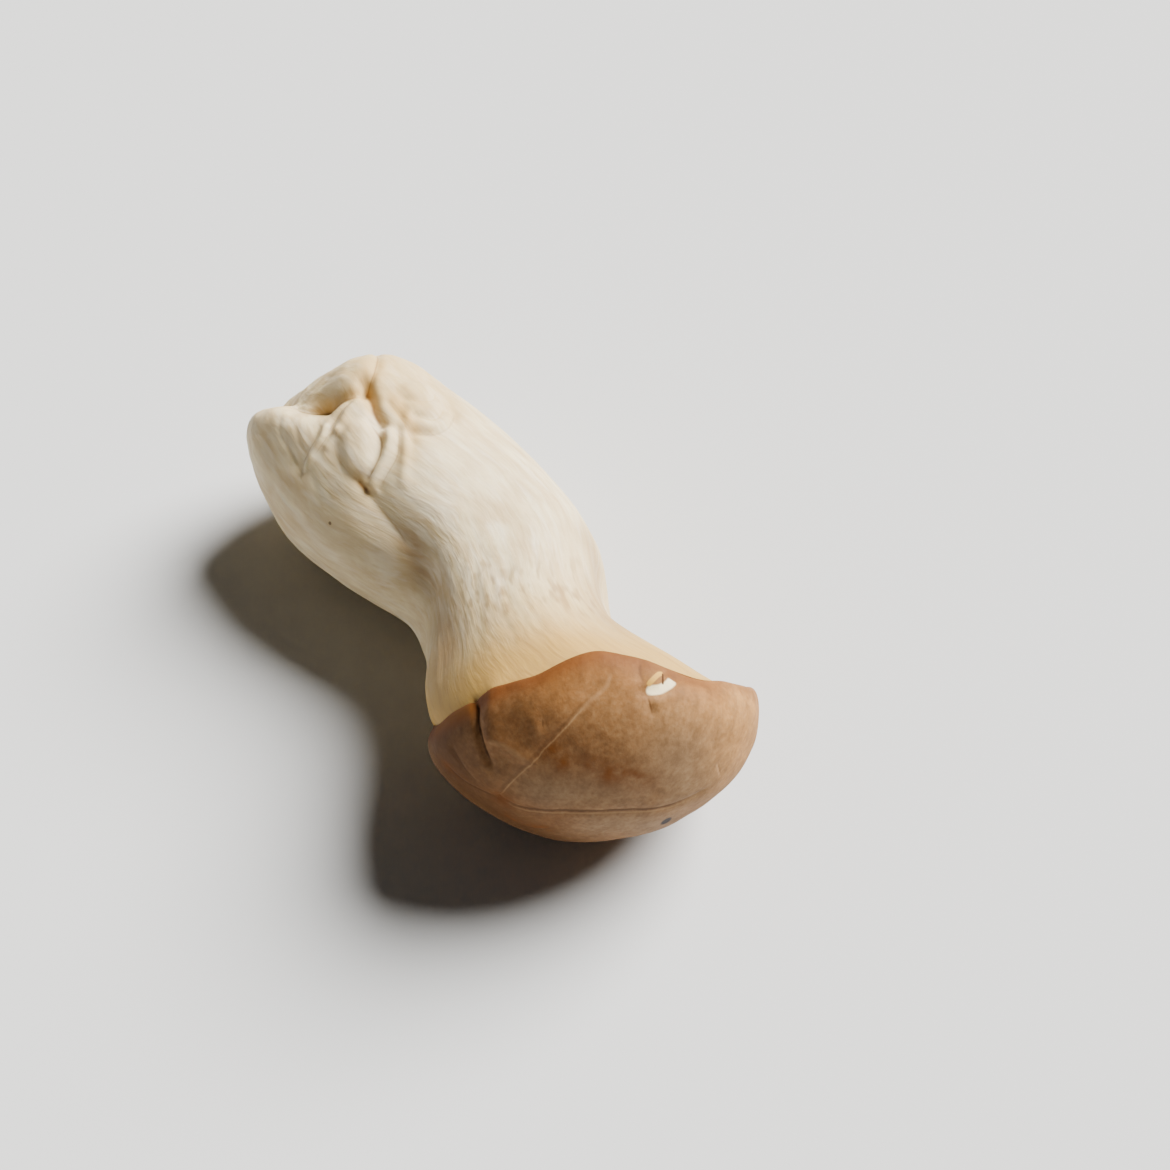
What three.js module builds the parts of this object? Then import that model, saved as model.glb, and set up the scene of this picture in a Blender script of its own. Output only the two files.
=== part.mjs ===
import * as THREE from "three";

// A fresh king oyster mushroom lying on its side, one solid as it grew: a stout pale stem with a
// gathered and folded base, a narrower neck, and an inrolled brown cap with gills under its rim.
// Millimetres, +Z up, +X from the base to the crown of the cap. The body is a stack of oval rings
// along a bent axis, closed at both ends. Relief stands on it along its normals: the folds of the
// base, the groove down the stem, the gills, and the creases of the cap's skin. Places on the
// body are given as [ring, degrees]: the ring counts from 0 at the base's end and may lie between
// two rings of the tables, and the angle runs round the ring, 0 to the side, 90 on top.

// Rings of the stem, from the base's end to the neck. The angles are in degrees.
// [x, y, z, yaw, pitch, half width, half height]
const STEM_RINGS = [
  [-57.0, -4.6, 27.0, -14, -8, 0, 0],
  [-55.2, -5.3, 26.8, -14, -8, 12.8, 13.2],
  [-50.5, -5.6, 26.0, -10, -6, 19.7, 19.8],
  [-43.5, -4.7, 25.0, -3, -3, 23.4, 23.0],
  [-33.0, -2.9, 24.5, 4, -1, 25.0, 24.2],
  [-20.0, 0.6, 24.2, 8, 0, 24.6, 23.8],
  [-7.0, 4.2, 24.6, 6, 2, 23.0, 22.6],
  [6.0, 6.5, 26.4, -4, 5, 21.2, 21.0],
  [15.5, 4.6, 28.4, -13, 3, 20.2, 20.2],
  [23.5, 1.6, 29.5, -19, -2, 20.0, 20.3],
];

// The cap's middle and the way it points.
const CAP = { x: 46.5, y: 4.5, z: 30.4, yaw: -24, pitch: -12 };

// Rings of the cap, from the foot of the gills over the rim to the crown, in the cap's own frame.
// [along its axis, aside, up, half width, half height]
const CAP_RINGS = [
  [-13.6, -9.6, -0.9, 22.6, 20.9],
  [-8.8, -6.4, -0.1, 26.8, 23.4],
  [-4.6, -2.8, 0, 30.2, 26.3],
  [-2.4, 0.0, 0, 31.7, 27.8],
  [-3.0, 0.7, 0, 32.9, 28.8],
  [-1.0, 0.8, 0, 33.9, 29.6],
  [4.0, 0.8, 0, 33.9, 29.9],
  [11.0, 1.4, 0, 31.3, 28.0],
  [18.0, 1.7, 0, 25.8, 23.2],
  [23.2, 1.6, 0, 18.4, 16.8],
  [26.2, 1.4, 0, 9.8, 9.0],
  [27.2, 1.2, 0, 0, 0],
];

// How far the rim stands back toward the crown, every 30 degrees round it, and how much of that
// each ring from the foot of the gills on takes up.
const RIM_SETBACK = [3.0, 6.4, 6.0, 2.4, 5.6, 7.2, 4.6, 1.4, -0.8, -1.2, -1.0, 0.3];
const RIM_SHARE = [0.25, 0.6, 0.9, 1, 1, 1, 0.75, 0.35, 0.1];

// Gills: as many ridges as fit two corners each. They are deep under the cap and die out on both
// sides of their top, the place in degrees where the rim lies closest to the neck. Faint and deep
// are where they start to show and where they have their whole depth, as minus the cosine of the
// angle from that top: -1 at the top itself, 1 straight below it.
const GILLS = 48;
const GILL_DEPTH_BELOW = 1.3;
const GILL_DEPTH_ABOVE = 0.05;
const GILL_TOP = 105;
const GILL_FAINT = -0.5;
const GILL_DEEP = 0.6;
const GILL_START = 8.8;
const GILL_FULL = 10.8;
const GILL_FADE = 12.2;
const GILL_END = 12.8;

// The skin of the cap starts on this ring.
const MARGIN_RING = 13;

// Slow swellings that keep the rings from being true ovals: how many go round a ring, and how far
// they turn, in radians, from one ring number to the next.
const SWELL_HEIGHT = 0.35;
const SWELLS = [
  { around: 3, twist: 1 },
  { around: 5, twist: -1.3 },
];

// The body sinks this far into the ground it rests on, and is flat there.
const REST_FLAT = 1;

// Corners round a ring, and the rings laid between two ring numbers: [from, to, how many].
const AROUND = 2 * GILLS;
const RING_SPANS = [
  [0, 1, 4],
  [1, 5.4, 18],
  [5.4, 9, 7],
  [9, 12.4, 6],
  [12.4, 15, 5],
  [15, 20, 11],
  [20, 21, 3],
];

// Lobes stand out and creases go in. Each follows a line of places and fades with the distance
// from it: half is where it is down to about a third, and a steep above the usual rounded one
// gives a flatter top with steeper sides.
const ROUNDED = 2;
const BASE_FOLDS = {
  topLobe: { height: 2.6, half: 7.5, line: [[2, 40], [2.3, 58], [2.7, 74]] },
  topShoulder: { height: -2.6, half: 6, line: [[1.2, 114], [1.6, 107], [2.2, 102]] },
  nose: { height: 1, half: 6, line: [[1.8, 160], [2.3, 150], [2.8, 141]] },
  valley: { height: -3.6, half: 4, line: [[1.2, 140], [1.7, 128], [2.2, 120], [2.7, 114], [3.2, 109]] },
  valleyFloor: { height: -1.9, half: 1.8, line: [[2.5, 124], [3, 121], [3.3, 113], [3.6, 91]] },
  pit: { height: -2, half: 1.3, line: [[3.5, 86], [3.8, 89], [4, 91], [4.2, 95]] },
  seamOverTheTop: { height: -0.9, half: 1.3, line: [[2, 62], [2.5, 66], [2.9, 73], [3.4, 84]] },
  flap: { height: 1.2, half: 4.6, steep: 4, line: [[4, 62], [4.4, 66], [4.7, 71]] },
  flapEdge: { height: -0.7, half: 1.3, line: [[4.3, 75], [4.8, 87], [5, 83], [4.9, 65]] },
  roundLobe: { height: 1.5, half: 2.7, steep: 4, line: [[4.3, 105], [4.5, 111], [4.7, 118]] },
  creaseRightOfIt: { height: -1.2, half: 1, line: [[4.2, 100], [4.6, 100], [4.8, 105], [4.9, 120]] },
  creaseLeftOfIt: { height: -0.8, half: 1, line: [[4, 108], [4.1, 115], [4.3, 120], [4.7, 124]] },
  strand: { height: 0.9, half: 1.3, line: [[4.6, 94], [4.8, 101], [5, 112], [5, 119]] },
  creaseByTheStrand: { height: -0.9, half: 1.1, line: [[4.5, 80], [4.8, 89], [5.1, 98], [5.3, 112]] },
  foldOnTheLeft: { height: 0.7, half: 1.5, line: [[3.8, 124], [3.9, 130], [4.1, 138]] },
  smallPit: { height: -1.4, half: 1.2, line: [[4.9, 124], [5.1, 126]] },
  flatSideOfTheBase: { height: -0.8, half: 5, line: [[2.6, 187], [3.4, 194]] },
  foldUnderTheEnd: { height: -1.6, half: 2.6, line: [[1.1, 150], [0.7, 215], [1.5, 250], [2.4, 262]] },
  foldBehindTheEnd: { height: -1.2, half: 2.2, line: [[0.5, 100], [1.2, 20], [2.2, 5], [3.1, 12]] },
};
const STEM_HOLLOWS = {
  startOfTheGroove: { height: -0.6, half: 1.4, line: [[5.1, 126], [5.3, 128], [5.6, 130], [6, 134]] },
  longGroove: { height: -1.2, half: 5, line: [[5.3, 128], [5.8, 131], [6.3, 137], [6.8, 145], [7.4, 151]] },
  hollowOfTheNeck: { height: -0.8, half: 6, line: [[7.4, 151], [8.2, 151], [9.1, 147], [9.8, 145]] },
  dentBesideTheNose: { height: -0.7, half: 4, line: [[3.2, 138], [3.5, 142], [3.8, 149]] },
  bulgeUnderTheNeck: { height: 2.4, half: 7, line: [[7.7, 208], [8.6, 208], [9.3, 203]] },
  cornerOfTheNeck: { height: -2.2, half: 5.5, line: [[8.3, 10], [8.9, 12], [9.5, 18]] },
  hollowAboveTheRim: { height: -0.8, half: 5, line: [[9, 196], [10.2, 190], [11.4, 182]] },
};
const CAP_CREASES = {
  notchInTheRim: { height: -1.5, half: 1.3, line: [[12.7, 137], [15.3, 136], [16.5, 138], [17.4, 143]] },
  rimBehindTheNotch: { height: 0.8, half: 2.4, line: [[13.4, 128], [15.4, 129], [16.6, 132]] },
  tear: { height: -0.8, half: 1.4, line: [[16.3, 75], [16.1, 70], [15.7, 66], [15.2, 64]] },
  creaseUnderTheCrown: {
    height: -0.5, half: 1.8,
    line: [[18.3, 158], [18.9, 155], [19.5, 132], [19.9, 79], [19.5, 32], [18.7, 20]],
  },
  foldOnTheHiddenSide: { height: -1.4, half: 1.8, line: [[12.8, 322], [15.2, 322], [17.6, 315]] },
  hollowOnTheHiddenSide: { height: -1, half: 5, line: [[15.5, 345], [17, 342]] },
};

const LAST_RING = STEM_RINGS.length + CAP_RINGS.length - 1;

function pointing(yaw, pitch) {
  const turn = THREE.MathUtils.degToRad(yaw);
  const tilt = THREE.MathUtils.degToRad(pitch);
  const along = new THREE.Vector3(
    Math.cos(tilt) * Math.cos(turn), Math.cos(tilt) * Math.sin(turn), Math.sin(tilt));
  const side = new THREE.Vector3(-Math.sin(turn), Math.cos(turn), 0);
  const up = new THREE.Vector3().crossVectors(along, side);
  return { along, side, up };
}

// A cap ring in the same terms as a stem ring.
function placedCapRing([along, aside, up, halfWidth, halfHeight]) {
  const way = pointing(CAP.yaw, CAP.pitch);
  const centre = new THREE.Vector3(CAP.x, CAP.y, CAP.z)
    .addScaledVector(way.along, along)
    .addScaledVector(way.side, aside)
    .addScaledVector(way.up, up);
  return [centre.x, centre.y, centre.z, CAP.yaw, CAP.pitch, halfWidth, halfHeight];
}

// The mirror image of a ring beyond the end it stands next to, so that the end closes round.
function mirrored([x, y, z, yaw, pitch, halfWidth, halfHeight]) {
  return [x, y, z, yaw, pitch, -halfWidth, -halfHeight];
}

const rings = [...STEM_RINGS, ...CAP_RINGS.map(placedCapRing)];
const table = [mirrored(rings[1]), ...rings, mirrored(rings[LAST_RING - 1])];
const TENSION = 0.5;

function smooth(points, closed = false) {
  return new THREE.CatmullRomCurve3(points, closed, "catmullrom", TENSION);
}

const centres = smooth(table.map((ring) => new THREE.Vector3(ring[0], ring[1], ring[2])));
const turns = smooth(table.map((ring) => new THREE.Vector3(ring[3], ring[4], 0)));
const halves = smooth(table.map((ring) => new THREE.Vector3(ring[5], ring[6], 0)));
const setback = smooth(RIM_SETBACK.map((distance) => new THREE.Vector3(distance, 0, 0)), true);
const capWay = pointing(CAP.yaw, CAP.pitch);

function rimShare(ring) {
  const place = ring - STEM_RINGS.length;
  const before = Math.floor(place);
  const from = RIM_SHARE[before] ?? 0;
  const to = RIM_SHARE[before + 1] ?? 0;
  return from + (to - from) * (place - before);
}

// A point of the plain body, before any relief.
function plainPoint(ring, degrees) {
  const t = (ring + 1) / (table.length - 1);
  const angle = THREE.MathUtils.degToRad(degrees);
  const turn = turns.getPoint(t);
  const half = halves.getPoint(t);
  const way = pointing(turn.x, turn.y);
  const rim = rimShare(ring) * setback.getPoint(THREE.MathUtils.euclideanModulo(degrees / 360, 1)).x;
  return centres.getPoint(t)
    .addScaledVector(way.side, half.x * Math.cos(angle))
    .addScaledVector(way.up, half.y * Math.sin(angle))
    .addScaledVector(capWay.along, rim);
}

const STEPS_PER_PLACE = 8;

function measuredFold({ height, half, steep = ROUNDED, line }) {
  const curve = smooth(line.map(([ring, degrees]) => plainPoint(ring, degrees)));
  const points = curve.getPoints(STEPS_PER_PLACE * (line.length - 1));
  const pieces = points.slice(1).map((point, i) => new THREE.Line3(points[i], point));
  return { height, half, steep, pieces };
}

const folds = Object.values({ ...BASE_FOLDS, ...STEM_HOLLOWS, ...CAP_CREASES }).map(measuredFold);
const nearest = new THREE.Vector3();

function foldRelief(point) {
  let relief = 0;
  for (const { height, half, steep, pieces } of folds) {
    let distance = Infinity;
    for (const piece of pieces) {
      piece.closestPointToPoint(point, true, nearest);
      distance = Math.min(distance, nearest.distanceTo(point));
    }
    relief += height * Math.exp(-((distance / half) ** steep));
  }
  return relief;
}

function gillRelief(ring, degrees) {
  const rise = THREE.MathUtils.smoothstep(ring, GILL_START, GILL_FULL);
  const fall = 1 - THREE.MathUtils.smoothstep(ring, GILL_FADE, GILL_END);
  const angle = THREE.MathUtils.degToRad(degrees);
  const fromTop = THREE.MathUtils.degToRad(degrees - GILL_TOP);
  const below = THREE.MathUtils.smoothstep(-Math.cos(fromTop), GILL_FAINT, GILL_DEEP);
  const depth = THREE.MathUtils.lerp(GILL_DEPTH_ABOVE, GILL_DEPTH_BELOW, below) * rise * fall;
  return depth * (Math.cos(GILLS * angle) - 1) / 2;
}

function swellRelief(ring, degrees) {
  const angle = THREE.MathUtils.degToRad(degrees);
  const fade = Math.sin(Math.PI * ring / LAST_RING);
  const waves = SWELLS.map(({ around, twist }) => Math.sin(around * angle + twist * ring));
  return SWELL_HEIGHT * fade * waves.reduce((sum, wave) => sum + wave);
}

// Ring numbers of the mesh, without the two ends.
const ladder = RING_SPANS.flatMap(([from, to, count]) =>
  Array.from({ length: count }, (_, i) => from + (to - from) * i / count)).slice(1);

const NUDGE_RINGS = 0.02;
const NUDGE_DEGREES = 0.5;

function outward(ring, degrees) {
  const round = plainPoint(ring, degrees + NUDGE_DEGREES).sub(plainPoint(ring, degrees - NUDGE_DEGREES));
  const onward = plainPoint(ring + NUDGE_RINGS, degrees).sub(plainPoint(ring - NUDGE_RINGS, degrees));
  return round.cross(onward).normalize();
}

function restedOnGround(point) {
  point.z = Math.max(point.z - REST_FLAT, 0);
  return point;
}

function bodyPoint(ring, degrees) {
  const point = plainPoint(ring, degrees);
  const relief = foldRelief(point) + gillRelief(ring, degrees) + swellRelief(ring, degrees);
  return restedOnGround(point.addScaledVector(outward(ring, degrees), relief));
}

const STEM_COLOUR = new THREE.Color("#e4dac3");
const SKIN_COLOUR = new THREE.Color("#9c7350");

function mushroomGeometry() {
  const points = [restedOnGround(plainPoint(0, 0))];
  const colours = [STEM_COLOUR];
  for (const ring of ladder) {
    for (let corner = 0; corner < AROUND; corner += 1) {
      points.push(bodyPoint(ring, 360 * corner / AROUND));
      colours.push(ring < MARGIN_RING ? STEM_COLOUR : SKIN_COLOUR);
    }
  }
  points.push(restedOnGround(plainPoint(LAST_RING, 0)));
  colours.push(SKIN_COLOUR);

  const triangles = [];
  const at = (ring, corner) => 1 + ring * AROUND + corner % AROUND;
  const lastLoop = ladder.length - 1;
  const crown = points.length - 1;
  for (let corner = 0; corner < AROUND; corner += 1) {
    triangles.push(0, at(0, corner + 1), at(0, corner));
    for (let ring = 0; ring < lastLoop; ring += 1) {
      triangles.push(at(ring, corner), at(ring, corner + 1), at(ring + 1, corner + 1));
      triangles.push(at(ring, corner), at(ring + 1, corner + 1), at(ring + 1, corner));
    }
    triangles.push(crown, at(lastLoop, corner), at(lastLoop, corner + 1));
  }

  const geometry = new THREE.BufferGeometry().setFromPoints(points);
  const colourValues = colours.flatMap((colour) => colour.toArray());
  geometry.setAttribute("color", new THREE.Float32BufferAttribute(colourValues, 3));
  geometry.setIndex(triangles);
  geometry.computeVertexNormals();
  return geometry;
}

// The origin is under the middle of the mushroom, on the ground it lies on.
function centredOnGround(geometry) {
  geometry.computeBoundingBox();
  const { min, max } = geometry.boundingBox;
  geometry.translate(-(min.x + max.x) / 2, -(min.y + max.y) / 2, -min.z);
  return geometry;
}

const flesh = new THREE.MeshStandardMaterial({ vertexColors: true, roughness: 0.62, metalness: 0 });
const mushroom = new THREE.Mesh(centredOnGround(mushroomGeometry()), flesh);
mushroom.name = "king_oyster_mushroom";

const part = new THREE.Group();
part.add(mushroom);

export default part;
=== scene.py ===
import math

import bmesh
import bpy
import numpy as np
from mathutils import Matrix, Vector, noise


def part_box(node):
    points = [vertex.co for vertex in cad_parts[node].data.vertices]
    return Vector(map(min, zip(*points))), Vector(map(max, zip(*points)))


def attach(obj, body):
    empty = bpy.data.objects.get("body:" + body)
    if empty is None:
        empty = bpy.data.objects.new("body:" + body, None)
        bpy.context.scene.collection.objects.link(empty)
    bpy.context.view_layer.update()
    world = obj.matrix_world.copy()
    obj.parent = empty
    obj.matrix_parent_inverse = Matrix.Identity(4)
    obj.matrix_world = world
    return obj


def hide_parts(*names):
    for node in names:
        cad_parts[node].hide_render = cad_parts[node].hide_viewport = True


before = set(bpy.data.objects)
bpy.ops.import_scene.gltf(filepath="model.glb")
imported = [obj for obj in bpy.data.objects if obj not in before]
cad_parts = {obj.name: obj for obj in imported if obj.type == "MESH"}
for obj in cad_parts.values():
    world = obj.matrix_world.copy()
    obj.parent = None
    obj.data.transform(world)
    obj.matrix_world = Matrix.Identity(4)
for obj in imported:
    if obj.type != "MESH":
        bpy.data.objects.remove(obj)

bl_info = {
    "name": "King oyster mushroom",
    "version": (1, 0, 0),
    "blender": (4, 5, 0),
    "location": "View3D > Sidebar > Mushroom",
    "description": "Grows a king oyster mushroom round its CAD solid and sets a pale studio",
    "category": "Object",
}

NODE = "king_oyster_mushroom"
PIECE = "king_oyster_mushroom_body"
BODY = "root"
CAD_LOW, CAD_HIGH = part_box(NODE)
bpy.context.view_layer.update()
MM = 0.001

# The body is a stack of oval rings along a bent axis. Places on it are (ring, degrees): the ring
# counts from 0 at the base's end and may lie between two rings, and the angle runs round the
# ring, 0 to the side, 90 on top. The tables are in millimetres and repeat the CAD solid's.
# x, y, z, yaw, pitch, half width, half height
STEM_RINGS = (
    (-57.0, -4.6, 27.0, -14, -8, 0, 0),
    (-55.2, -5.3, 26.8, -14, -8, 12.8, 13.2),
    (-50.5, -5.6, 26.0, -10, -6, 19.7, 19.8),
    (-43.5, -4.7, 25.0, -3, -3, 23.4, 23.0),
    (-33.0, -2.9, 24.5, 4, -1, 25.0, 24.2),
    (-20.0, 0.6, 24.2, 8, 0, 24.6, 23.8),
    (-7.0, 4.2, 24.6, 6, 2, 23.0, 22.6),
    (6.0, 6.5, 26.4, -4, 5, 21.2, 21.0),
    (15.5, 4.6, 28.4, -13, 3, 20.2, 20.2),
    (23.5, 1.6, 29.5, -19, -2, 20.0, 20.3),
)
CAP_MIDDLE = (46.5, 4.5, 30.4)
CAP_YAW = -24
CAP_PITCH = -12
# along the cap's axis, aside, up, half width, half height
CAP_RINGS = (
    (-13.6, -9.6, -0.9, 22.6, 20.9),
    (-8.8, -6.4, -0.1, 26.8, 23.4),
    (-4.6, -2.8, 0, 30.2, 26.3),
    (-2.4, 0.0, 0, 31.7, 27.8),
    (-3.0, 0.7, 0, 32.9, 28.8),
    (-1.0, 0.8, 0, 33.9, 29.6),
    (4.0, 0.8, 0, 33.9, 29.9),
    (11.0, 1.4, 0, 31.3, 28.0),
    (18.0, 1.7, 0, 25.8, 23.2),
    (23.2, 1.6, 0, 18.4, 16.8),
    (26.2, 1.4, 0, 9.8, 9.0),
    (27.2, 1.2, 0, 0, 0),
)
# How far the rim stands back in millimetres, every 30 degrees from 0, and how much of that each
# ring of the cap follows, from its first.
RIM_SETBACK = (3.0, 6.4, 6.0, 2.4, 5.6, 7.2, 4.6, 1.4, -0.8, -1.2, -1.0, 0.3)
RIM_SHARE = (0.25, 0.6, 0.9, 1, 1, 1, 0.75, 0.35, 0.1)
LAST_RING = len(STEM_RINGS) + len(CAP_RINGS) - 1
MARGIN_RING = 13
REST_FLAT = 1.0

# Small waves of the rim: how many round it, how far they go, where they start.
RIM_WAVES = ((7, 0.35, 1.0), (13, 0.22, 2.1), (23, 0.12, 0.4))

# The cage: corners round each ring, and the rings laid between two ring numbers.
CORNERS = 72
CAGE_SPANS = (
    (0, 1, 5), (1, 5.4, 21), (5.4, 9, 9), (9, 12.4, 7), (12.4, 15, 6), (15, 20, 11), (20, 21, 3))
SMOOTHING = 2
GILL_ZONE = (9.3, 12.75)
GILL_CUTS = 2

# The gills die out on both sides of GILL_TOP, the place in degrees where the rim lies closest to
# the neck: minus the cosine of the angle from there, they start to show at the first of GILL_SIDES
# and are whole at the second. The long ones set in, the short ones come in between them, and all
# end between these rings.
GILL_TOP = 105
GILL_SIDES = (-0.5, 0.6)
LONG_GILLS = (8.9, 10.9)
SHORT_GILLS = (10.9, 11.7)
GILL_END = (12.35, 12.85)
# Waves of the foot of the gills: how many round it, how many rings far, where they start.
GILL_WAVES = ((5, 0.35, 0), (11, 0.25, 2))

# Slow swellings keep the rings from being true ovals: their height in millimetres, how many go
# round, and how many radians they shift with each ring number.
SWELL_HEIGHT = 0.35
SWELLS = ((3, 1), (5, -1.3))

# Between these rings the crumpling of the base ends, the fibres of the stem end, and the lumps of
# the cap set in. Below CRUMPLED_TOP, by the sine of the angle, a share of the crumpling is left.
CRUMPLED_END = (3.2, 5.6)
CRUMPLED_TOP = (-0.2, 0.6)
CRUMPLED_BELOW = 0.35
STEM_END = (10.5, 12)
CAP_START = (13.2, 15)

# Between these rings a band of colour sets in, or ends at the rim. The straw colour starts half a
# ring sooner at 0 degrees. At THICK_SIDE, in degrees, the rim's band is half a ring wider; across
# from there a share of its strength is left.
STRAW = (8.2, 11.6)
STRAW_LEAN = 0.5
PLEATED = (9.6, 11.4)
MARGIN = (12.5, 13.05)
RIM_BAND = (14.8, 15.5)
RIM_BAND_WIDER = 0.5
THICK_SIDE = 150
THIN_SHARE = 0.25

# Fine relief is noise: the size of its features along each axis in millimetres, seed and weight.
FINE_RELIEF = {
    "crumple": (((3.4, 3.4, 4.2), 1, 1), ((1.7, 1.7, 2.1), 2, 0.6)),
    "fibres": (((2.2, 2.2, 22), 3, 1), ((1.1, 1.1, 11), 4, 0.6)),
    "ripple": (((5.5, 5.5, 11), 7, 1), ((2.8, 2.8, 6), 9, 0.5)),
    "flecks": (((1.7, 1.7, 4), 10, 0.7),),
    "lumps": (((11, 11, 11), 5, 1), ((4.5, 4.5, 4.5), 6, 0.35)),
    "wobble of the lines": (((1.6, 1.6, 1.6), 8, 0.15),),
}
# How far each seed moves the noise of the relief and of the patterns along each axis.
SEED_STEP = (17.3, 5.1, 9.7)
PATTERN_STEP = (1, 0.7, 1.3)

# Patterns lie on a straightened body of this radius, and wander this far to both sides, in mm.
GRAIN_RADIUS = 24.0
WANDER = 7.0
# So many degrees round the cap are about as far as one ring along it.
DEGREES_PER_RING = 12
# Nothing is left of a fold or a patch so many half widths away; FAR is out of every reach, in mm.
FOLD_REACH = 4
PATCH_REACH = 3
FAR = 1e6

# The studio, in metres: where the main light shines from, the sides of the floor, and the nearest
# that the camera sees; and how bright the air looks to the camera.
KEY_FROM = (-0.04, 0.64, 0.62)
FLOOR_SIZE = 6
NEAREST = 0.01
AIR_SEEN = 2.5

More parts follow.
